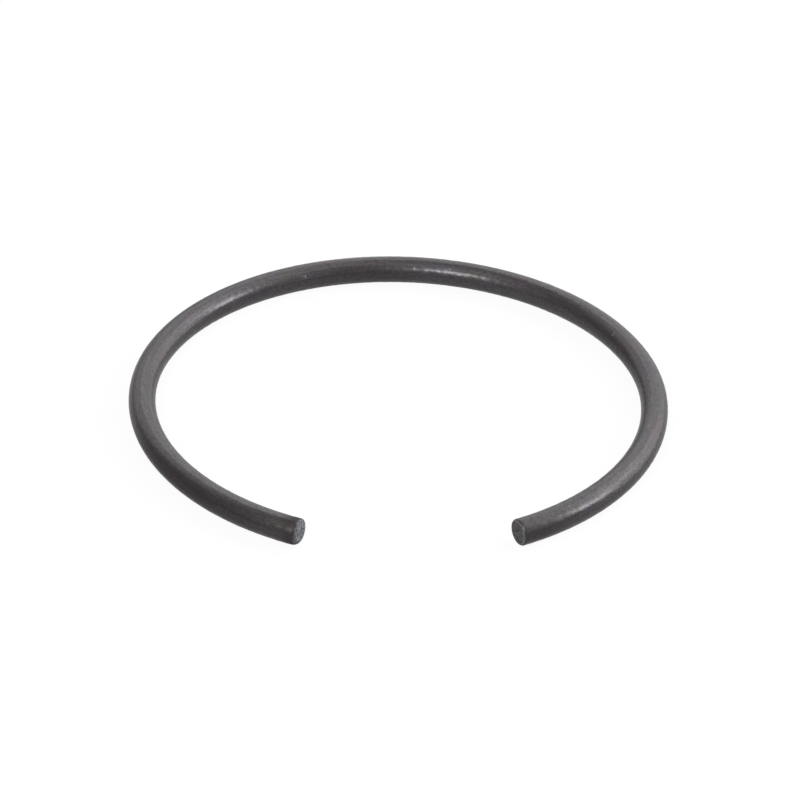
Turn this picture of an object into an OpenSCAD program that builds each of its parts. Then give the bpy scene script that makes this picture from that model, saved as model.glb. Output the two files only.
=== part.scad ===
// Snap ring of round spring wire, the kind of circlip that springs outwards into a groove in a bore.
// One length of wire is coiled to an open ring, and both ends are cropped.
// The ring lies flat in the XY plane, as it rests unloaded, with its axis on Z and its gap towards -Y.
// The origin is the centre of the ring, halfway through the wire. Sizes are in millimetres.

/* [Wire] */
// Diameter of the round spring wire
wire_d = 2.5; // [1.6:0.1:3.2]

/* [Unloaded ring] */
// Outside diameter at the widest place, over the wire
free_outer_d = 49.5; // [42:0.5:60]
// Width of the gap, between the middles of the two end faces
gap_w = 19.2; // [8:0.1:28]
// How far the gap's middle lies to the right of the ring's own
gap_shift = 0.1; // [-0.5:0.1:0.5]
// How much wider the wire is bent in the right front quarter than in the back half
right_bend_extra = 1.4; // [0:0.1:3]
// How much wider the wire is bent in the left front quarter than in the back half
left_bend_extra = 1.0; // [0:0.1:3]

/* [Cropped ends] */
// Bevel that breaks the edge of each end face
edge_break = 0.2; // [0.05:0.05:0.5]
// Lean of the left end face from square, more than 0 where it faces up
left_crop_lean = 2; // [-10:1:10]
// Lean of the right end face from square, more than 0 where it faces up
right_crop_lean = -1; // [-10:1:10]

/* [Hidden] */

$fn = 96;

wire_r = wire_d / 2;

// Bend radius of the wire's centreline in the back half
back_bend_r = free_outer_d / 2 - wire_r;

// Distance of the middle of each end face from the ring's own middle
right_reach = gap_w / 2 + gap_shift;
left_reach = gap_w / 2 - gap_shift;

// Wire that runs on past the crop, so that the cutter meets it all the way across
overrun = wire_r;

// Reach of the cutter, past the wire on every side
cutter_r = wire_d;

// Wire bent to a radius round Z, from the +X side through an angle
module bent_wire(bend_r, turn) {
    rotate_extrude(angle = turn)
        translate([bend_r, 0])
            circle(r = wire_r);
}

// Cutter with a flat face on the XY plane, for wire that comes up the Z axis from below. The funnel
// round the flat face leaves the bevel on the wire's edge.
module crop_cutter() {
    flat_r = wire_r - edge_break;
    rotate_extrude()
        polygon([
            [0, 0],
            [flat_r, 0],
            [cutter_r, flat_r - cutter_r],
            [cutter_r, cutter_r],
            [0, cutter_r],
        ]);
}

// The right-hand quarter of the front half: its wider bend, and the cropped end. The bend's centre lies
// beyond the ring's own by bend_extra, so that this bend and the back half meet without a kink.
module end_bend(reach, bend_extra, crop_lean) {
    bend_r = back_bend_r + bend_extra;
    turn = acos((reach + bend_extra) / bend_r);
    overrun_turn = overrun / bend_r * 180 / PI;
    translate([-bend_extra, 0, 0])
        difference() {
            bent_wire(bend_r, -(turn + overrun_turn));
            rotate([0, 0, -turn])
                translate([bend_r, 0, 0])
                    rotate([90 - crop_lean, 0, 0])
                        crop_cutter();
        }
}

// The whole ring, one piece of wire
module snap_ring() {
    color([0.29, 0.28, 0.29])
        union() {
            bent_wire(back_bend_r, 180);
            end_bend(right_reach, right_bend_extra, right_crop_lean);
            mirror([1, 0, 0])
                end_bend(left_reach, left_bend_extra, left_crop_lean);
        }
}

snap_ring();
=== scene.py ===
"""Open snap ring of round, blackened spring wire, shown as it lies on a pale table.

The wire is swept from one cropped end round the back to the other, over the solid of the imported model. Its
finish is the dark film that a phosphate bath and oil leave on drawn wire. Lengths are in metres, apart from
those whose names end in mm.
"""

import logging
import math
from dataclasses import dataclass
from enum import Enum

import bpy
import numpy as np
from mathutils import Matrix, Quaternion, Vector


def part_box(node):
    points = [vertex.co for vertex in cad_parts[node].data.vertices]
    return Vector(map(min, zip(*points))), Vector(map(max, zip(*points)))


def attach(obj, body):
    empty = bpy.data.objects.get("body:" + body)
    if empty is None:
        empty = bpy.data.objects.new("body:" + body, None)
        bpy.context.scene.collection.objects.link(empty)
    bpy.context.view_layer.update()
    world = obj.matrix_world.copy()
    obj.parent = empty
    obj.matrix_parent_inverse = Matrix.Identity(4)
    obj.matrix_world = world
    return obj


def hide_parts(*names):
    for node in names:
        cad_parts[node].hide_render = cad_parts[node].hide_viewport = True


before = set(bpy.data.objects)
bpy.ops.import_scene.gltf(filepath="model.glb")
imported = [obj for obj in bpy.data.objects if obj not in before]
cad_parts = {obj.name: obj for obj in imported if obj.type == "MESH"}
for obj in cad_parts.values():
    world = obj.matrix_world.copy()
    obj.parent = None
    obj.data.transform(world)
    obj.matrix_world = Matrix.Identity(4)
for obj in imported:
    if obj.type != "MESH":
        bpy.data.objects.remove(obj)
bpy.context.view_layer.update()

LOG = logging.getLogger("snap_ring")

NODE = "snap_ring"
BODY = "root"

MM = 0.001
FULL_TURN = 2 * math.pi

# Names of the surface coordinates and masks that the mesh stores and the finishes read
STRAIGHT = "straight_mm"
RIM = "rim"
# Mask of painted shade: where the film is painted darker for shade on the ends' edges and in patches
PAINTED_SHADE = "painted_shade"
NICK = "nick"

# Name of the flat map that finishes can be baked onto
BAKE_MAP = "OFBake"

# Span in which most of a noise's values lie
NOISE_SPAN = (0.3, 0.7)

WHITE = (1.0, 1.0, 1.0, 1.0)

# What a node's input takes: a constant, or another node's output
Value = float | tuple[float, ...] | bpy.types.NodeSocket


class Crop(Enum):
    """How the press left an end face: its edge rolled over, or sharp."""

    ROLLED = "rolled"
    SHARP = "sharp"


class NodeSheet:
    """Adds nodes to one tree and joins them, for materials and node groups alike."""

    # Places of the Mix node's colour sockets
    MIX_A = 6
    MIX_B = 7
    MIX_RESULT = 2

    def __init__(self, tree: bpy.types.NodeTree) -> None:
        """Takes the tree to fill, and empties it."""
        self.tree = tree
        tree.nodes.clear()

    def add(
        self, kind: str, values: dict[str | int, Value] | None = None, **settings: object
    ) -> bpy.types.Node:
        """Adds one node.

        Args:
            kind: the node's type, such as ShaderNodeMath.
            values: what goes into each input, by its name or place: a constant or another node's output.
            settings: the node's own choices, such as its operation.

        Returns:
            The new node.
        """
        node = self.tree.nodes.new(kind)
        for name, setting in settings.items():
            setattr(node, name, setting)
        for key, value in (values or {}).items():
            if isinstance(value, bpy.types.NodeSocket):
                self.tree.links.new(value, node.inputs[key])
            else:
                node.inputs[key].default_value = value
        return node

    def math(self, operation: str, *values: Value) -> bpy.types.NodeSocket:
        """Does one sum, given the Math node's operation and its inputs in order."""
        return self.add("ShaderNodeMath", dict(enumerate(values)), operation=operation).outputs[0]

    def vector(self, operation: str, *values: Value) -> bpy.types.NodeSocket:
        """Does one sum on vectors that gives a vector, as math does on numbers."""
        node = self.add("ShaderNodeVectorMath", dict(enumerate(values)), operation=operation)
        return node.outputs[0]

    def remap(
        self, value: Value, span: tuple[Value, Value], to: tuple[Value, Value]
    ) -> bpy.types.NodeSocket:
        """Spreads the values of one span over another, with soft ends."""
        inputs = {"Value": value, "From Min": span[0], "From Max": span[1], "To Min": to[0], "To Max": to[1]}
        return self.add("ShaderNodeMapRange", inputs, interpolation_type="SMOOTHSTEP").outputs[0]

    def mix(self, factor: Value, first: Value, second: Value, blend: str = "MIX") -> bpy.types.NodeSocket:
        """Mixes two colours.

        Args:
            factor: 0 for the first colour, 1 for the second or for the full blend.
            first: the colour below.
            second: the colour on top.
            blend: how they meet.

        Returns:
            The mixed colour's socket.
        """
        inputs = {0: factor, self.MIX_A: first, self.MIX_B: second}
        node = self.add("ShaderNodeMix", inputs, data_type="RGBA", blend_type=blend)
        return node.outputs[self.MIX_RESULT]

    def noise(self, place: Value, scale: Value, detail: float, rough: float = 0.5) -> bpy.types.NodeSocket:
        """Gives cloudy values round 0.5, with finer layers on lumps of a length of one over the scale."""
        inputs = {"Vector": place, "Scale": scale, "Detail": detail, "Roughness": rough}
        return self.add("ShaderNodeTexNoise", inputs).outputs[0]

    def attribute(self, name: str, output: str = "Fac") -> bpy.types.NodeSocket:
        """Reads a mask, or with another output coordinates, that the mesh stores by this name."""
        return self.add("ShaderNodeAttribute", attribute_name=name).outputs[output]

    def seen(self) -> bpy.types.NodeSocket:
        """Tells the rays that show the background from those that only carry its light.

        Returns:
            The socket of a value that is 1 on camera, glossy and transmission rays, and 0 on others.
        """
        path = self.add("ShaderNodeLightPath").outputs
        mirrored = self.math("MAXIMUM", path["Is Glossy Ray"], path["Is Transmission Ray"])
        return self.math("MAXIMUM", mirrored, path["Is Camera Ray"])


class EffectGroup:
    """A shader node group with named inputs and outputs, built once and placed in each material."""

    KINDS = {"value": "NodeSocketFloat", "vector": "NodeSocketVector", "colour": "NodeSocketColor"}

    def __init__(self, name: str, inputs: dict[str, str], outputs: dict[str, str]) -> None:
        """Makes the group and its sockets.

        Args:
            name: the group's name.
            inputs: each input's name and kind.
            outputs: each output's name and kind.
        """
        self.tree = bpy.data.node_groups.new(name, "ShaderNodeTree")
        for direction, sockets in (("INPUT", inputs), ("OUTPUT", outputs)):
            for socket, kind in sockets.items():
                self.tree.interface.new_socket(socket, in_out=direction, socket_type=self.KINDS[kind])
        self.sheet = NodeSheet(self.tree)
        self.inputs = self.sheet.add("NodeGroupInput").outputs

    def put_out(self, results: dict[str, Value]) -> None:
        """Joins the results to the group's outputs."""
        self.sheet.add("NodeGroupOutput", results)

    def place(self, sheet: NodeSheet, values: dict[str, Value]) -> bpy.types.NodeOutputs:
        """Places the group in a material with its own values, and gives its outputs there."""
        return sheet.add("ShaderNodeGroup", values, node_tree=self.tree).outputs


class Effects:
    """The effects that the drawn surface and the cropped faces share."""

    # How far each noise is moved off the first one, so that they don't lie on each other
    TINT_SHIFTS = {"Warm": 17.0, "Cool": 41.0, "Olive": 73.0}
    SPECK_SHIFT = 31.0

    # Values of the noise between which a patch of tint fades in
    PATCH_EDGE = (0.46, 0.68)

    # Scale of the larger specks against the grain's, the value of their noise above which they show with no
    # cover, how far full cover lowers it, and how soft their edge is
    SPECK_SCALE = 0.7
    SPECK_EDGE = 0.78
    SPECK_COVER = 0.5
    SPECK_FADE = 0.08

    # Breaks in the bare line of a rim, which is worn edge and painted highlight in one: their scale for each
    # millimetre, the values of the noise between which they fade, and how strong the line is in them and
    # beside them
    BREAK_SCALE = 4.0
    BREAK_EDGE = (0.3, 0.55)
    BREAK_DIMMING = (0.6, 1.0)

    def __init__(self) -> None:
        """Builds every group once."""
        self.film = self.build_film()
        self.marks = self.build_marks()
        self.specks = self.build_specks()
        self.bare_and_highlight = self.build_bare_and_highlight()

    def build_film(self) -> EffectGroup:
        """Makes the patches of tint in the dark film, where it came out thicker or thinner.

        Returns:
            The group.
        """
        group = EffectGroup(
            "Film tint",
            {
                "Place": "vector",
                "Patch": "value",
                "Base": "colour",
                "Warm": "colour",
                "Cool": "colour",
                "Olive": "colour",
            },
            {"Colour": "colour", "Cloud": "value"},
        )
        sheet = group.sheet
        inputs = group.inputs
        scale = sheet.math("DIVIDE", 1.0, inputs["Patch"])
        cloud = sheet.noise(inputs["Place"], scale, detail=3.0, rough=0.6)
        tint = inputs["Base"]
        for name, shift in self.TINT_SHIFTS.items():
            apart = sheet.vector("ADD", inputs["Place"], (shift,) * 3)
            veil = sheet.noise(apart, scale, detail=2.0)
            tint = sheet.mix(sheet.remap(veil, self.PATCH_EDGE, (0.0, 1.0)), tint, inputs[name])
        group.put_out({"Colour": tint, "Cloud": cloud})
        return group

    @staticmethod
    def build_marks() -> EffectGroup:
        """Makes fine lines: the die's along the wire, or the shear's across a cropped face.

        Returns:
            The group.
        """
        group = EffectGroup(
            "Drawn marks",
            {"Place": "vector", "Stretch": "vector", "Pitch": "value"},
            {"Line": "value"},
        )
        sheet = group.sheet
        inputs = group.inputs
        stretched = sheet.vector("MULTIPLY", inputs["Place"], inputs["Stretch"])
        scale = sheet.math("DIVIDE", 1.0, inputs["Pitch"])
        line = sheet.noise(stretched, scale, detail=2.0, rough=0.6)
        group.put_out({"Line": line})
        return group

    def build_specks(self) -> EffectGroup:
        """Makes the fine grain of the phosphate crystals, with a few larger specks.

        Returns:
            The group.
        """
        group = EffectGroup(
            "Crystal specks",
            {"Place": "vector", "Grain": "value", "Cover": "value"},
            {"Speck": "value", "Grain": "value"},
        )
        sheet = group.sheet
        inputs = group.inputs
        scale = sheet.math("DIVIDE", 1.0, inputs["Grain"])
        grain = sheet.noise(inputs["Place"], scale, detail=2.0, rough=0.7)
        apart = sheet.vector("ADD", inputs["Place"], (self.SPECK_SHIFT,) * 3)
        lumps = sheet.noise(apart, sheet.math("MULTIPLY", scale, self.SPECK_SCALE), detail=1.0)
        covered = sheet.math("MULTIPLY", inputs["Cover"], self.SPECK_COVER)
        edge = sheet.math("SUBTRACT", self.SPECK_EDGE, covered)
        speck = sheet.remap(lumps, (edge, sheet.math("ADD", edge, self.SPECK_FADE)), (0.0, 1.0))
        group.put_out({"Speck": speck, "Grain": grain})
        return group

    def build_bare_and_highlight(self) -> EffectGroup:
        """Makes the barer steel: a broken line along a rim, worn edge and painted highlight in one, and the
        bottoms of nicks.

        Returns:
            The group.
        """
        group = EffectGroup(
            "Rim wear and painted highlight",
            {"Place": "vector", "Rim": "value", "Amount": "value", "Nick": "value"},
            {"Bare": "value"},
        )
        sheet = group.sheet
        inputs = group.inputs
        breaks = sheet.noise(inputs["Place"], self.BREAK_SCALE, detail=3.0, rough=0.6)
        broken = sheet.remap(breaks, self.BREAK_EDGE, self.BREAK_DIMMING)
        worn = sheet.math("MULTIPLY", inputs["Rim"], sheet.math("MULTIPLY", broken, inputs["Amount"]))
        group.put_out({"Bare": sheet.math("MAXIMUM", worn, inputs["Nick"])})
        return group


@dataclass(frozen=True)
class BlackenedFinish:
    """Dark film of phosphate and oil on spring steel, for the drawn surface and the cropped faces."""

    name: str

    # Colours of the film and of its three tints, and the size of their patches
    base: tuple[float, float, float]
    warm: tuple[float, float, float]
    cool: tuple[float, float, float]
    olive: tuple[float, float, float]
    patch_mm: float = 2.4

    # Crystals: size, lightest and darkest grain against the film, and the paler specks among them
    speck_mm: float = 0.16
    grain: tuple[float, float] = (0.78, 1.22)
    speck: tuple[float, float, float] = (0.15, 0.143, 0.147)
    speck_cover: float = 0.3
    speck_strength: float = 0.16

    # Fine lines: distance between them, their scale each way, and how light and dark they are
    pitch_mm: float = 0.12
    stretch: tuple[float, float, float] = (0.04, 1.0, 1.0)
    lines: tuple[float, float] = (0.86, 1.14)

    # Relief: height of the grain, and the lines' height as a share of it
    grain_depth_mm: float = 0.006
    line_depth: float = 0.6

    # Gloss of the metal, and the thin oil on it
    metallic: float = 0.8
    edge_tint: float = 0.5
    roughness: tuple[float, float] = (0.38, 0.47)
    oil: tuple[float, float] = (0.3, 0.45)
    oil_roughness: float = 0.24

    # Painted shade on the rounded edges of the ends and in patches: its colour, and how strongly it is laid
    # on
    dark_shade: tuple[float, float, float] = (0.034, 0.026, 0.029)
    shade_depth: float = 0.0

    # Bare steel in nicks, and on a sharp rim a line of it that is worn edge and painted highlight in one
    bare: tuple[float, float, float] = (0.32, 0.31, 0.32)
    rim_wear_and_highlight: float = 0.2
    rim_roughness: float = 0.25

    def build(self, effects: Effects) -> bpy.types.Material:
        """Makes the material.

        Args:
            effects: the shared groups.

        Returns:
            The finished material.
        """
        material = bpy.data.materials.new(self.name)
        material.use_nodes = True
        sheet = NodeSheet(material.node_tree)
        place = sheet.attribute(STRAIGHT, "Vector")
        rim = sheet.attribute(RIM)
        painted_shade = sheet.attribute(PAINTED_SHADE)
        nick = sheet.attribute(NICK)

        film = effects.film.place(
            sheet,
            {
                "Place": place,
                "Patch": self.patch_mm,
                "Base": (*self.base, 1.0),
                "Warm": (*self.warm, 1.0),
                "Cool": (*self.cool, 1.0),
                "Olive": (*self.olive, 1.0),
            },
        )
        marks = effects.marks.place(
            sheet, {"Place": place, "Stretch": self.stretch, "Pitch": self.pitch_mm}
        )
        specks = effects.specks.place(
            sheet, {"Place": place, "Grain": self.speck_mm, "Cover": self.speck_cover}
        )
        bare_and_highlight = effects.bare_and_highlight.place(
            sheet, {"Place": place, "Rim": rim, "Amount": self.rim_wear_and_highlight, "Nick": nick}
        )

        lines = sheet.remap(marks["Line"], NOISE_SPAN, self.lines)
        lined = sheet.mix(1.0, film["Colour"], lines, "MULTIPLY")
        grain = sheet.remap(specks["Grain"], NOISE_SPAN, self.grain)
        grained = sheet.mix(1.0, lined, grain, "MULTIPLY")
        speck = sheet.math("MULTIPLY", specks["Speck"], self.speck_strength)
        dotted = sheet.mix(speck, grained, (*self.speck, 1.0))
        # Painted shade: the film darkened on the ends' rounded edges and in patches
        dark_shade = sheet.math("MULTIPLY", painted_shade, self.shade_depth)
        shaded = sheet.mix(dark_shade, dotted, (*self.dark_shade, 1.0))
        # The rim's bare line is partly painted highlight; the nicks' bare steel is wear
        colour = sheet.mix(bare_and_highlight["Bare"], shaded, (*self.bare, 1.0))

        cloudy = sheet.remap(film["Cloud"], NOISE_SPAN, self.roughness)
        roughness = sheet.math("MULTIPLY_ADD", rim, self.rim_roughness, cloudy)
        oiled = sheet.math("SUBTRACT", 1.0, sheet.math("MAXIMUM", painted_shade, rim))
        oil = sheet.math("MULTIPLY", sheet.remap(specks["Grain"], NOISE_SPAN, self.oil), oiled)
        line_height = sheet.math("MULTIPLY", marks["Line"], self.line_depth)
        height = sheet.math("ADD", specks["Grain"], line_height)
        bump = sheet.add(
            "ShaderNodeBump", {"Height": height, "Distance": self.grain_depth_mm * MM}
        ).outputs["Normal"]
        shader = sheet.add(
            "ShaderNodeBsdfPrincipled",
            {
                "Base Color": colour,
                "Metallic": self.metallic,
                "Roughness": roughness,
                "Specular Tint": (self.edge_tint, self.edge_tint, self.edge_tint, 1.0),
                "Coat Weight": oil,
                "Coat Roughness": self.oil_roughness,
                "Normal": bump,
            },
        )
        sheet.add("ShaderNodeOutputMaterial", {"Surface": shader.outputs[0]})
        return material


DRAWN_FINISH = BlackenedFinish(
    name="blackened_wire",
    base=(0.0428, 0.0381, 0.0405),
    warm=(0.0480, 0.0381, 0.0424),
    cool=(0.0404, 0.0379, 0.0446),
    olive=(0.0426, 0.0390, 0.0386),
    shade_depth=0.5,
)

FACE_FINISHES = {
    # Painted light: the rolled face is painted lighter and bluer than the sharp one, for the light that
    # falls on it
    Crop.ROLLED: BlackenedFinish(
        name="rolled_face_painted_lit",
        base=(0.140, 0.146, 0.159),
        warm=(0.130, 0.126, 0.139),
        cool=(0.150, 0.169, 0.188),
        olive=(0.140, 0.148, 0.148),
        patch_mm=0.7,
        grain=(0.2, 1.8),
        stretch=(1.0, 1.0, 0.2),
        roughness=(0.55, 0.7),
        oil=(0.05, 0.15),
        speck=(0.30, 0.30, 0.31),
        speck_cover=0.45,
        speck_strength=0.5,
        shade_depth=0.9,
        rim_wear_and_highlight=0.0,
    ),
    Crop.SHARP: BlackenedFinish(
        name="sharp_face",
        base=(0.047, 0.045, 0.0475),
        warm=(0.052, 0.045, 0.049),
        cool=(0.046, 0.0465, 0.051),
        olive=(0.047, 0.047, 0.046),
        patch_mm=0.7,
        grain=(0.1, 1.8),
        stretch=(1.0, 1.0, 1.0),
        roughness=(0.5, 0.65),
        speck_mm=0.2,
        speck_cover=0.55,
        speck_strength=0.25,
        metallic=0.5,
        oil=(0.0, 0.1),
        shade_depth=0.4,
        rim_wear_and_highlight=0.45,
    ),
}


@dataclass(frozen=True)
class WireEnd:
    """One end of the wire: the bend that leads to it, and its face as the press cropped it."""

    # How the press left the face, and how far the face leans up from square
    crop: Crop
    lean_deg: float

    # Distance of the face's middle from the ring's own along X, and how much wider the bend is than the back
    reach: float
    bend_extra: float

    # Radius of the face's edge where it is widest and on the far side, and where round the wire it is widest
    outer_edge_r: float
    inner_edge_r: float
    edge_turn_deg: float

    # Part of the rounded edge that has the face's finish, and how much painted shade darkens the edge of a
    # rolled face
    rough_rim: float
    dark_shade: float = 0.0

    # Line of a sharp rim, worn edge and painted highlight in one, round its edge: brightest where the rate
    # times the turn is the shift, and narrower with a higher power
    RIM_LINE_RATE = 1.8
    RIM_LINE_SHIFT = 0.8
    RIM_LINE_POWER = 4

    # How late the painted shade gathers towards the drawn surface on a rolled edge, and how fast it fades
    # from the face on a sharp one
    ROLLED_SHADE_POWER = 1.2
    SHARP_SHADE_POWER = 2

    @property
    def slope(self) -> float:
        """How far the face leans, as run along the wire for each unit of height."""
        return math.tan(math.radians(self.lean_deg))

    def turn(self, back_r: float) -> float:
        """Gives the turn in radians from the ring's widest place to the end face, for the back's radius."""
        return math.acos((self.reach + self.bend_extra) / (back_r + self.bend_extra))

    def run(self, back_r: float) -> float:
        """Gives the length of wire in this end's bend, for the bend radius of the back half."""
        return (back_r + self.bend_extra) * self.turn(back_r)

    def edge_r(self, around: np.ndarray) -> np.ndarray:
        """Gives the radius of the face's edge at angles round the wire, from the outer side up."""
        share = (1 + np.cos(around - math.radians(self.edge_turn_deg))) / 2
        return self.inner_edge_r + (self.outer_edge_r - self.inner_edge_r) * share

    def edge_masks(self, turn: float) -> tuple[float, float]:
        """Says how bare the edge is at one place of its round, and how much painted shade darkens it there.

        Args:
            turn: the angle there, from 0 at the face to a quarter turn at the drawn surface.

        Returns:
            How near the place is to the bare line of the rim, and how much painted shade it has, both from 0
            to 1.
        """
        if self.crop is Crop.ROLLED:
            return 0.0, self.dark_shade * math.sin(turn) ** self.ROLLED_SHADE_POWER
        bare = max(math.cos(self.RIM_LINE_RATE * turn - self.RIM_LINE_SHIFT), 0.0) ** self.RIM_LINE_POWER
        return bare, math.cos(turn) ** self.SHARP_SHADE_POWER


RIGHT_END = WireEnd(
    crop=Crop.SHARP,
    lean_deg=-1.0,
    reach=9.7 * MM,
    bend_extra=1.4 * MM,
    outer_edge_r=0.31 * MM,
    inner_edge_r=0.10 * MM,
    edge_turn_deg=25.0,
    rough_rim=0.4,
)

LEFT_END = WireEnd(
    crop=Crop.ROLLED,
    lean_deg=2.0,
    reach=9.5 * MM,
    bend_extra=1.0 * MM,
    outer_edge_r=0.60 * MM,
    inner_edge_r=0.18 * MM,
    edge_turn_deg=-15.0,
    rough_rim=0.6,
    dark_shade=1.0,
)


@dataclass(frozen=True)
class RingRow:
    """One ring of the mesh on an end of the wire: its place on each side, and its masks."""

    along: np.ndarray
    radius: np.ndarray
    unrolled: float
    rim: float
    painted_shade: float


@dataclass(frozen=True)
class Spot:
    """One oval place on the drawn surface: a nick where bare steel shows, or a patch of painted shade where
    the film is painted darker.

    Its place is a turn round the ring, from the gap's side towards +X, and an angle round the wire, from the
    ring's outer side up.
    """

    turn_deg: float
    side_deg: float
    length: float
    width: float
    strength: float


@dataclass
class SpringWire:
    """The ring's one length of round wire, from its right cropped end round the back to its left one."""

    outer_r: float
    wire_r: float
    right: WireEnd = RIGHT_END
    left: WireEnd = LEFT_END

    # Lengths of wire over which an end's lean fades out, and the painted shade behind an edge that has it
    lean_fade: float = 2.5 * MM
    shade_run: float = 1.6 * MM

    # Seed of the waves, and one below that of the small nicks
    seed: int = 7

    # Shallow waves in the drawn surface: how many, how often each repeats along the wire, and the most lobes
    # that one has round it
    wave_depth: float = 0.030 * MM
    wave_count: int = 48
    wave_cycles: tuple[float, float] = (20, 200)
    most_lobes: int = 9

    # Depth of every nick, and the nicks that the photo shows
    nick_depth: float = 0.025 * MM
    nicks: tuple[Spot, ...] = (
        Spot(54.6, 78.0, 0.35 * MM, 0.15 * MM, 0.35),
        Spot(56.2, 60.0, 0.25 * MM, 0.14 * MM, 0.25),
        Spot(74.7, 93.0, 0.30 * MM, 0.20 * MM, 0.30),
        Spot(76.3, 88.0, 0.20 * MM, 0.30 * MM, 0.20),
        Spot(115.8, 129.0, 0.25 * MM, 0.55 * MM, 0.35),
        Spot(162.9, 150.0, 0.40 * MM, 0.16 * MM, 0.35),
        Spot(165.4, 131.0, 0.30 * MM, 0.20 * MM, 0.45),
        Spot(174.0, 144.5, 0.30 * MM, 0.18 * MM, 0.50),
        Spot(201.0, 146.0, 0.22 * MM, 0.60 * MM, 0.30),
        Spot(202.2, 138.0, 0.20 * MM, 0.30 * MM, 0.25),
        Spot(328.5, 74.0, 0.30 * MM, 0.15 * MM, 0.25),
    )

    # Small nicks, scattered clear of the ends, and the spans of their sizes
    small_nicks: int = 60
    nick_turn_deg: tuple[float, float] = (30, 330)
    nick_length_mm: tuple[float, float] = (0.12, 0.3)
    nick_width_mm: tuple[float, float] = (0.08, 0.16)
    nick_strength: tuple[float, float] = (0.05, 0.3)

    # Patches of painted shade: the film painted darker where the wire lies in shade
    shade_patches: tuple[Spot, ...] = (
        Spot(306.0, 15.0, 34.0 * MM, 2.6 * MM, 0.9),
        Spot(186.0, 180.0, 18.0 * MM, 1.8 * MM, 0.55),
        Spot(112.0, 168.0, 22.0 * MM, 1.8 * MM, 0.45),
        Spot(29.0, 6.0, 11.0 * MM, 1.9 * MM, 0.7),
    )

    # Mesh: rings along the drawn surface, on each rounded edge and on each face, and sides round the wire
    rings: int = 860
    rim_rings: int = 8
    face_rings: int = 8
    sides: int = 96

    # How closely the painted shade of a face keeps to its edge
    FACE_SHADE_POWER = 5

    # Flat map: strips of wire in rows of their own, with the discs of the faces in one more row. A strip's
    # start and reach are shares of the map's width, its foot and rise shares of a row.
    MAP_STRIPS = 4
    MAP_ROWS = MAP_STRIPS + 1
    STRIP_START = 0.02
    STRIP_REACH = 0.94
    STRIP_FOOT = 0.04
    STRIP_RISE = 0.92

    # Radius of a disc's room as a share of a row, its size against the wire's radius, and the discs' places
    DISC_ROOM = 0.42
    DISC_SIZE = 1.2
    RIGHT_DISC_X = 0.25
    LEFT_DISC_X = 0.75

    @classmethod
    def from_frame(cls) -> "SpringWire":
        """Takes the ring's and the wire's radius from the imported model's own solid."""
        low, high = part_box(NODE)
        return cls(outer_r=(high.x - low.x) / 2, wire_r=(high.z - low.z) / 2)

    @property
    def back_r(self) -> float:
        """Bend radius of the centreline in the back half."""
        return self.outer_r - self.wire_r

    @property
    def length(self) -> float:
        """Length of the centreline."""
        return self.right.run(self.back_r) + math.pi * self.back_r + self.left.run(self.back_r)

    @property
    def around(self) -> np.ndarray:
        """Angles of the mesh's points round the wire, from the outer side up."""
        return np.linspace(0, FULL_TURN, self.sides, endpoint=False)

    def centreline(self, along: np.ndarray) -> tuple[np.ndarray, np.ndarray]:
        """Finds the wire's middle and its outward direction.

        Args:
            along: distances along the centreline from the right end.

        Returns:
            The points, and the unit vectors that point outwards from the bend.
        """
        back_start = self.right.run(self.back_r)
        back_end = back_start + math.pi * self.back_r
        on_right = along < back_start
        on_left = along > back_end
        past_left = np.maximum(along - back_end, 0)
        turn = np.clip((along - back_start) / self.back_r, 0, math.pi)
        turn = np.where(on_right, (along - back_start) / (self.back_r + self.right.bend_extra), turn)
        turn = turn + past_left / (self.back_r + self.left.bend_extra)
        extra = np.where(on_right, self.right.bend_extra, np.where(on_left, self.left.bend_extra, 0.0))
        outward = np.stack([np.cos(turn), np.sin(turn), np.zeros_like(turn)], -1)
        points = outward * (self.back_r + extra)[..., None]
        points[..., 0] += np.where(on_right, -extra, extra)
        return points, outward

    def along_at(self, turn_deg: float) -> float:
        """Finds a place along the wire.

        Args:
            turn_deg: its direction from the ring's middle, from the gap's side towards +X.

        Returns:
            Its distance along the centreline from the right end.
        """
        turn = math.radians(turn_deg) - math.pi / 2
        before = min(turn, 0.0) * (self.back_r + self.right.bend_extra)
        behind = min(max(turn, 0.0), math.pi) * self.back_r
        after = max(turn - math.pi, 0.0) * (self.back_r + self.left.bend_extra)
        return self.right.run(self.back_r) + before + behind + after

    def profile(self, end: WireEnd, around: np.ndarray) -> list[RingRow]:
        """Lists one end's rings, from near the middle of its face to where the plain wire starts.

        Args:
            end: the end.
            around: angles round the wire.

        Returns:
            The rings.
        """
        edge_r = end.edge_r(around)
        flat_r = self.wire_r - edge_r
        rows = []
        for k in range(1, self.face_rings):
            share = k / self.face_rings
            shaded = share**self.FACE_SHADE_POWER * end.edge_masks(0.0)[1]
            rows.append(RingRow(np.zeros_like(around), flat_r * share, flat_r.mean() * share, 0.0, shaded))
        for k in range(self.rim_rings + 1):
            turn = math.pi / 2 * k / self.rim_rings
            depth = edge_r * (1 - math.cos(turn))
            radius = flat_r + edge_r * math.sin(turn)
            rows.append(RingRow(depth, radius, (flat_r + edge_r * turn).mean(), *end.edge_masks(turn)))
        return rows

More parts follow.
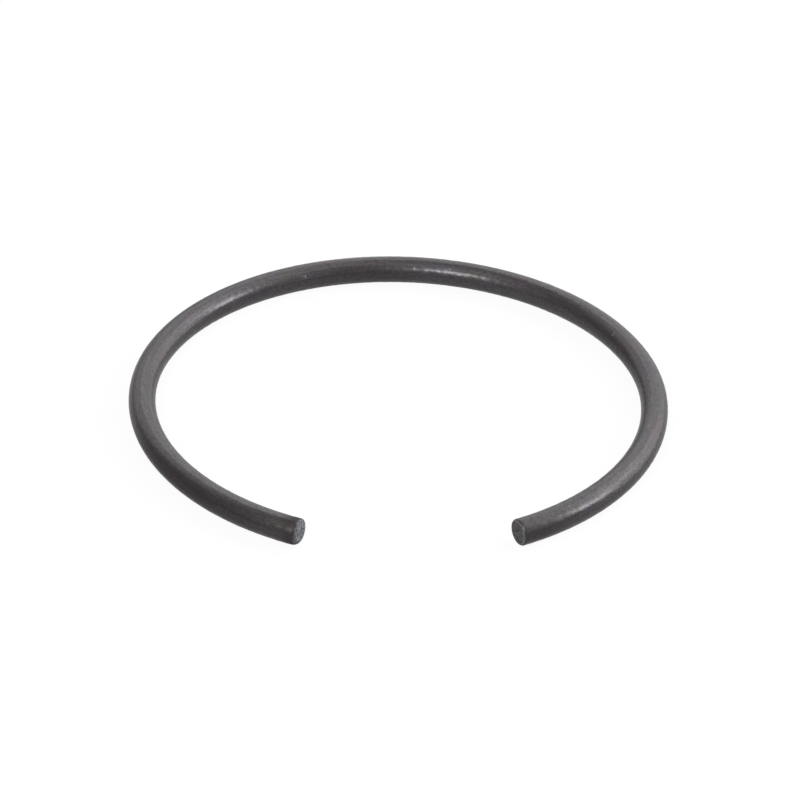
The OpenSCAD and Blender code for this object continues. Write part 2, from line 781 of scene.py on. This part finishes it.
    def lay_out(self) -> dict[str, np.ndarray]:
        """Places the mesh's rings along the whole wire.

        Returns:
            What a ring's row holds, by name, for all the rings in order.
        """
        right = self.profile(self.right, self.around)
        left = self.profile(self.left, self.around)[::-1]
        starts = (right[-1].along.max(), left[0].along.max())
        side = np.linspace(starts[0], self.length - starts[1], self.rings)[1:-1]
        shaded = np.zeros(len(side))
        for distance, end, start in zip((side, self.length - side), (self.right, self.left), starts):
            shaded += end.dark_shade * np.clip(1 - (distance - start) / self.shade_run, 0, 1)
        plain = {
            "along": np.repeat(side[:, None], self.sides, 1),
            "radius": np.full((len(side), self.sides), self.wire_r),
            "unrolled": np.full(len(side), self.wire_r),
            "rim": np.zeros(len(side)),
            "painted_shade": shaded,
        }
        rings = {}
        for name, middle in plain.items():
            before = [getattr(row, name) for row in right]
            after = [getattr(row, name) for row in left]
            rings[name] = np.concatenate([before, middle, after])
        rings["along"][-len(left):] = self.length - rings["along"][-len(left):]
        return rings

    def waves(self, along: np.ndarray, around: np.ndarray) -> np.ndarray:
        """Works out how far the drawn surface dips below a true round.

        Args:
            along: distances along the wire.
            around: angles round the wire.

        Returns:
            The dips, from 0 to the wave depth.
        """
        rng = np.random.default_rng(self.seed)
        total = np.zeros(np.broadcast(along, around).shape)
        for _ in range(self.wave_count):
            cycles = rng.uniform(*self.wave_cycles)
            lobes = rng.integers(-self.most_lobes, self.most_lobes + 1)
            phase = rng.uniform(0, FULL_TURN)
            total += np.sin(FULL_TURN * cycles * along / self.length + lobes * around + phase)
        low, high = total.min(), total.max()
        return self.wave_depth * (total - low) / (high - low)

    def scatter_nicks(self) -> list[Spot]:
        """Scatters small nicks over the wire, among those that the photo shows.

        Returns:
            All the nicks.
        """
        rng = np.random.default_rng(self.seed + 1)
        nicks = list(self.nicks)
        for _ in range(self.small_nicks):
            turn_deg = rng.uniform(*self.nick_turn_deg)
            side_deg = rng.uniform(0, 360)
            length = rng.uniform(*self.nick_length_mm) * MM
            width = rng.uniform(*self.nick_width_mm) * MM
            nicks.append(Spot(turn_deg, side_deg, length, width, rng.uniform(*self.nick_strength)))
        return nicks

    def inside(self, spot: Spot, along: np.ndarray, around: np.ndarray) -> np.ndarray:
        """Works out how far inside a spot each place is.

        Args:
            spot: the spot.
            along: distances along the wire.
            around: angles round the wire.

        Returns:
            1 in the spot's middle, falling softly to 0 at its edge.
        """
        away = (along - self.along_at(spot.turn_deg)) / spot.length * 2
        turned = np.mod(around - math.radians(spot.side_deg) + math.pi, FULL_TURN) - math.pi
        across = turned * self.wire_r / spot.width * 2
        return np.clip(1 - away**2 - across**2, 0, 1) ** 2

    def cut_nicks(self, along: np.ndarray, around: np.ndarray) -> tuple[np.ndarray, np.ndarray]:
        """Works out the dents of all the nicks, and how bare the steel is in them.

        Args:
            along: distances along the wire.
            around: angles round the wire.

        Returns:
            The dents' depths, and the bareness from 0 to 1.
        """
        dents = np.zeros(np.broadcast(along, around).shape)
        bare = np.zeros_like(dents)
        for nick in self.scatter_nicks():
            inside = self.inside(nick, along, around)
            dents = np.maximum(dents, inside * self.nick_depth)
            bare = np.maximum(bare, inside * nick.strength)
        return dents, bare

    def shade_patch_mask(self, along: np.ndarray, around: np.ndarray) -> np.ndarray:
        """Works out how much painted shade the patches lay on the film.

        Args:
            along: distances along the wire.
            around: angles round the wire.

        Returns:
            The painted shade, from 0 to 1.
        """
        patch_shade = np.zeros(np.broadcast(along, around).shape)
        for spot in self.shade_patches:
            patch_shade = np.maximum(patch_shade, self.inside(spot, along, around) * spot.strength)
        return patch_shade

    def sweep(self, rings: dict[str, np.ndarray], dents: np.ndarray) -> tuple[np.ndarray, np.ndarray]:
        """Sweeps the rings along the bent wire, and ends them with the middles of both end faces.

        Args:
            rings: the mesh's rings, as laid out.
            dents: how deep the nicks are at each point.

        Returns:
            The mesh's points, and the same points on straight wire in millimetres.
        """
        along = rings["along"]
        around = self.around[None]
        share = rings["radius"] / self.wire_r
        radius = rings["radius"] - (self.waves(along, around) + dents) * share
        out = radius * np.cos(around)
        up = radius * np.sin(around)
        near_right = np.clip(1 - along / self.lean_fade, 0, 1) ** 2
        near_left = np.clip(1 - (self.length - along) / self.lean_fade, 0, 1) ** 2
        shifted = along + up * (near_right * self.right.slope - near_left * self.left.slope)
        points, outward = self.centreline(shifted)
        points = points + outward * out[..., None]
        points[..., 2] += up

        tips = np.array([0.0, self.length])
        vertices = np.concatenate([points.reshape(-1, 3), self.centreline(tips)[0]])
        straight = np.stack([shifted, out, up], -1).reshape(-1, 3)
        straight = np.concatenate([straight, [[tip, 0, 0] for tip in tips]]) / MM
        return vertices, straight

    def build(self) -> bpy.types.Object:
        """Builds the wire's mesh with its surface coordinates, its masks and its map.

        Returns:
            The object, in its place.
        """
        rings = self.lay_out()
        along = rings["along"]
        dents, bare = self.cut_nicks(along, self.around[None])
        shade_patches = self.shade_patch_mask(along, self.around[None])
        vertices, straight = self.sweep(rings, dents)

        mesh = bpy.data.meshes.new("ring_wire")
        mesh.from_pydata(vertices.tolist(), [], self.faces(len(along)))
        mesh.attributes.new(STRAIGHT, "FLOAT_VECTOR", "POINT").data.foreach_set("vector", straight.ravel())
        # The painted shade mask joins the painted shade of the ends' edges and of the patches
        masks = {
            RIM: np.repeat(rings["rim"], self.sides),
            PAINTED_SHADE: np.maximum(rings["painted_shade"][:, None], shade_patches).ravel(),
            NICK: bare.ravel(),
        }
        for name, mask in masks.items():
            values = np.concatenate([mask, [0.0, 0.0]])
            mesh.attributes.new(name, "FLOAT", "POINT").data.foreach_set("value", values)
        mesh.uv_layers.new(name=BAKE_MAP).data.foreach_set("uv", self.unroll(rings).ravel())
        mesh.shade_smooth()
        return add_object("ring_wire", mesh)

    def faces(self, rings: int) -> list[tuple[int, ...]]:
        """Joins the rings to each other and closes both end faces.

        Args:
            rings: how many rings the mesh has.

        Returns:
            The corners of each face.
        """
        found = []
        for ring in range(rings - 1):
            for side in range(self.sides):
                here = ring * self.sides + side
                beside = ring * self.sides + (side + 1) % self.sides
                found.append((here, beside, beside + self.sides, here + self.sides))
        right_middle = rings * self.sides
        last = (rings - 1) * self.sides
        for side in range(self.sides):
            beside = (side + 1) % self.sides
            found.append((right_middle, beside, side))
            found.append((right_middle + 1, last + side, last + beside))
        return found

    def unroll(self, rings: dict[str, np.ndarray]) -> np.ndarray:
        """Lays the surface flat: the wire in strips, and above them its end faces as two discs.

        Args:
            rings: the mesh's rings, as laid out.

        Returns:
            The place on the map of each face's corners, in the order of the faces.
        """
        along = rings["along"].mean(axis=1) / self.length * self.MAP_STRIPS
        unrolled = rings["unrolled"]
        count = len(along)
        cap = self.face_rings - 1 + self.rim_rings
        places = []
        for ring in range(count - 1):
            for side in range(self.sides):
                corners = ((ring, side), (ring, side + 1), (ring + 1, side + 1), (ring + 1, side))
                if ring < cap or ring >= count - 1 - cap:
                    places += [self.on_disc(unrolled[row], turn, ring > cap) for row, turn in corners]
                    continue
                strip = min(int(along[ring]), self.MAP_STRIPS - 1)
                for row, turn in corners:
                    run = self.STRIP_START + self.STRIP_REACH * (along[row] - strip)
                    rise = self.STRIP_FOOT + self.STRIP_RISE * turn / self.sides
                    places.append((run, (strip + rise) / self.MAP_ROWS))
        nearest = unrolled[0]
        for side in range(self.sides):
            places += [self.on_disc(0, 0, False), self.on_disc(nearest, side + 1, False)]
            places += [self.on_disc(nearest, side, False), self.on_disc(0, 0, True)]
            places += [self.on_disc(nearest, side, True), self.on_disc(nearest, side + 1, True)]
        return np.array(places)

    def on_disc(self, unrolled: float, side: int, left: bool) -> tuple[float, float]:
        """Places a point of an end face on the map.

        Args:
            unrolled: its distance from the middle of the face, over the rounded rim.
            side: its place round the wire, in sides.
            left: whether it is on the left end.

        Returns:
            Its place on the map.
        """
        turn = FULL_TURN * side / self.sides
        reach = self.DISC_ROOM / self.MAP_ROWS * unrolled / (self.wire_r * self.DISC_SIZE)
        middle_x = self.LEFT_DISC_X if left else self.RIGHT_DISC_X
        middle_y = 1 - 0.5 / self.MAP_ROWS
        return middle_x + reach * math.cos(turn), middle_y + reach * math.sin(turn)

    def dress(self, wire: bpy.types.Object, effects: Effects) -> None:
        """Gives the wire its finishes: one for its drawn surface, and each end face's own.

        Args:
            wire: the built wire.
            effects: the shared groups.
        """
        mesh = wire.data
        mesh.materials.append(DRAWN_FINISH.build(effects))
        for end in (self.right, self.left):
            mesh.materials.append(FACE_FINISHES[end.crop].build(effects))
        right_rows, left_rows = (
            self.face_rings - 1 + round(self.rim_rings * end.rough_rim) for end in (self.right, self.left)
        )
        rows = (len(mesh.polygons) - 2 * self.sides) // self.sides
        for number, face in enumerate(mesh.polygons):
            row = number // self.sides
            if row >= rows:
                face.material_index = 1 + (number - rows * self.sides) % 2
            elif row < right_rows:
                face.material_index = 1
            elif row >= rows - left_rows:
                face.material_index = 2

    def place(self, wire: bpy.types.Object) -> None:
        """Says what the wire rides on, and hides the model's part that it stands for.

        Args:
            wire: the built wire.
        """
        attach(wire, BODY)
        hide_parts(NODE)


@dataclass(frozen=True)
class Softbox:
    """One rectangular soft lamp, placed round the ring by the direction that it shines from."""

    name: str
    azimuth_deg: float
    elevation_deg: float
    width: float
    height: float
    radiance: float
    distance: float = 0.7

    def build(self) -> bpy.types.Object:
        """Makes the lamp, aimed at the ring's centre.

        Returns:
            The lamp.
        """
        lamp = bpy.data.lights.new(self.name, "AREA")
        lamp.shape = "RECTANGLE"
        lamp.size = self.width
        lamp.size_y = self.height
        lamp.energy = self.radiance * math.pi * self.width * self.height
        item = add_object(self.name, lamp)
        aim_at_ring(item, self.azimuth_deg, self.elevation_deg, self.distance)
        return item


@dataclass(frozen=True)
class TableFinish:
    """Pale, matt paint of the table, which is plain white to the rays that show the background."""

    name: str = "pale_table"
    colour: tuple[float, float, float] = (0.8, 0.8, 0.8)

    # How much of it is plain white to those rays; the rest keeps the shadow
    white_share: float = 0.94

    def build(self) -> bpy.types.Material:
        """Makes the material, which lets the camera see through the table from below.

        Returns:
            The finished material.
        """
        material = bpy.data.materials.new(self.name)
        material.use_nodes = True
        sheet = NodeSheet(material.node_tree)
        paint = sheet.add("ShaderNodeBsdfDiffuse", {"Color": (*self.colour, 1.0)}).outputs[0]
        white = sheet.add("ShaderNodeEmission", {"Color": WHITE, "Strength": 1.0}).outputs[0]
        share = sheet.math("MULTIPLY", sheet.seen(), self.white_share)
        above = sheet.add("ShaderNodeMixShader", {0: share, 1: paint, 2: white}).outputs[0]
        clear = sheet.add("ShaderNodeBsdfTransparent").outputs[0]
        back = sheet.add("ShaderNodeNewGeometry").outputs["Backfacing"]
        camera = sheet.add("ShaderNodeLightPath").outputs["Is Camera Ray"]
        below = sheet.math("MULTIPLY", back, camera)
        both = sheet.add("ShaderNodeMixShader", {0: below, 1: above, 2: clear}).outputs[0]
        sheet.add("ShaderNodeOutputMaterial", {"Surface": both})
        return material


@dataclass
class Studio:
    """The pale table, the soft lamps round it and the plain light of the room."""

    floor_z: float
    floor_size: float = 4.0
    floor_finish: TableFinish = TableFinish()

    # Strength of the room's walls to the rays that show them, and of the light that they give
    walls: float = 0.58
    room: float = 0.1

    # Name, azimuth, elevation, width, height and radiance of each lamp
    lamps: tuple[Softbox, ...] = (
        Softbox("key_right", 87.0, 27.0, 0.12, 0.12, 21.4),
        Softbox("strip_right", 87.0, 30.0, 0.17, 0.34, 6.1),
        Softbox("panel_right", 105.0, 36.0, 0.22, 0.25, 3.9),
        Softbox("panel_mid", 125.0, 35.0, 0.38, 0.5, 2.35),
        Softbox("panel_back", 162.0, 38.0, 0.57, 0.46, 1.65),
        Softbox("panel_back_left", 207.0, 32.0, 0.5, 0.55, 1.05),
        Softbox("low_right", 115.0, 8.0, 0.5, 0.18, 2.5),
        Softbox("low_back", 160.0, 8.0, 0.6, 0.18, 1.55),
        Softbox("fill_right", 46.0, 28.0, 0.3, 0.45, 0.55),
        Softbox("key_left", 331.0, 36.0, 0.22, 0.15, 28.0),
        Softbox("fill_left", 327.0, 58.0, 0.2, 0.2, 1.45),
        Softbox("overhead_left", 310.0, 75.0, 0.4, 0.4, 1.3),
        Softbox("overhead_right", 110.0, 68.0, 0.5, 0.35, 1.45),
    )

    def build_floor(self) -> bpy.types.Object:
        """Makes the table's top, which is white to the eye and keeps the ring's faint shadow.

        Returns:
            The floor.
        """
        half = self.floor_size / 2
        sides = ((-half, -half), (half, -half), (half, half), (-half, half))
        mesh = bpy.data.meshes.new("floor")
        mesh.from_pydata([(x, y, self.floor_z) for x, y in sides], [], [(0, 1, 2, 3)])
        mesh.materials.append(self.floor_finish.build())
        floor = add_object("floor", mesh)
        return floor

    def build_room(self) -> bpy.types.World:
        """Fills the room with plain, even light.

        Returns:
            The world.
        """
        world = bpy.data.worlds.new("room")
        world.use_nodes = True
        sheet = NodeSheet(world.node_tree)
        strength = sheet.math("MULTIPLY_ADD", sheet.seen(), self.walls - self.room, self.room)
        light = sheet.add("ShaderNodeBackground", {"Color": WHITE, "Strength": strength}).outputs[0]
        sheet.add("ShaderNodeOutputWorld", {"Surface": light})
        bpy.context.scene.world = world
        return world

    def build(self) -> None:
        """Builds the floor, the room and the lamps."""
        LOG.info("stage %s", self.build_floor().name)
        LOG.info("world %s", self.build_room().name)
        for lamp in self.lamps:
            LOG.info("lamp %s", lamp.build().name)


@dataclass(frozen=True)
class PhotoCamera:
    """The camera of the photograph, aimed at the ring's centre."""

    azimuth_deg: float = -2.98
    elevation_deg: float = 31.92
    roll_deg: float = 1.45
    distance: float = 0.48175
    lens_mm: float = 236.2
    sensor_mm: float = 36.0

    # Distance from the camera at which it starts to see
    nearest: float = 0.01

    # Width of the photo, and where the ring's centre lies in it
    frame_px: int = 800
    ring_centre_px: tuple[float, float] = (398.4, 399.35)

    def build(self) -> bpy.types.Object:
        """Makes the camera and shows the scene through it.

        Returns:
            The camera.
        """
        data = bpy.data.cameras.new("photo_camera")
        data.lens = self.lens_mm
        data.sensor_width = self.sensor_mm
        data.shift_x = (self.frame_px / 2 - self.ring_centre_px[0]) / self.frame_px
        data.shift_y = (self.ring_centre_px[1] - self.frame_px / 2) / self.frame_px
        data.clip_start = self.nearest
        camera = add_object("photo_camera", data)
        aim_at_ring(camera, self.azimuth_deg, self.elevation_deg, self.distance)
        roll = Quaternion((0.0, 0.0, 1.0), math.radians(self.roll_deg))
        camera.rotation_quaternion = camera.rotation_quaternion @ roll
        bpy.context.scene.camera = camera
        return camera


def add_object(name: str, data: bpy.types.ID) -> bpy.types.Object:
    """Makes an object and puts it into the scene.

    Args:
        name: the object's name.
        data: its mesh, lamp or camera data.

    Returns:
        The object.
    """
    item = bpy.data.objects.new(name, data)
    bpy.context.scene.collection.objects.link(item)
    return item


def aim_at_ring(item: bpy.types.Object, azimuth_deg: float, elevation_deg: float, distance: float) -> None:
    """Places a lamp or camera round the ring and turns it towards the ring's centre.

    Args:
        item: the lamp or camera.
        azimuth_deg: the turn from the gap's side, -Y, towards +X.
        elevation_deg: the angle above the table.
        distance: how far it stands from the ring's centre.
    """
    azimuth = math.radians(azimuth_deg)
    elevation = math.radians(elevation_deg)
    flat = math.cos(elevation)
    back = Vector((math.sin(azimuth) * flat, -math.cos(azimuth) * flat, math.sin(elevation)))
    item.location = back * distance
    item.rotation_mode = "QUATERNION"
    item.rotation_quaternion = (-back).to_track_quat("-Z", "Y")


def main() -> None:
    """Builds the camera, the studio and the ring, in this order."""
    logging.basicConfig(level=logging.INFO)
    bpy.context.scene.view_settings.view_transform = "Standard"
    camera = PhotoCamera().build()
    LOG.info("camera %s", camera.name)
    Studio(floor_z=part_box(NODE)[0].z).build()
    effects = Effects()
    ring = SpringWire.from_frame()
    wire = ring.build()
    ring.dress(wire, effects)
    ring.place(wire)
    LOG.info("piece %s: %d faces, wire %.1f mm long", wire.name, len(wire.data.polygons), ring.length / MM)


if __name__ == "__main__":
    main()
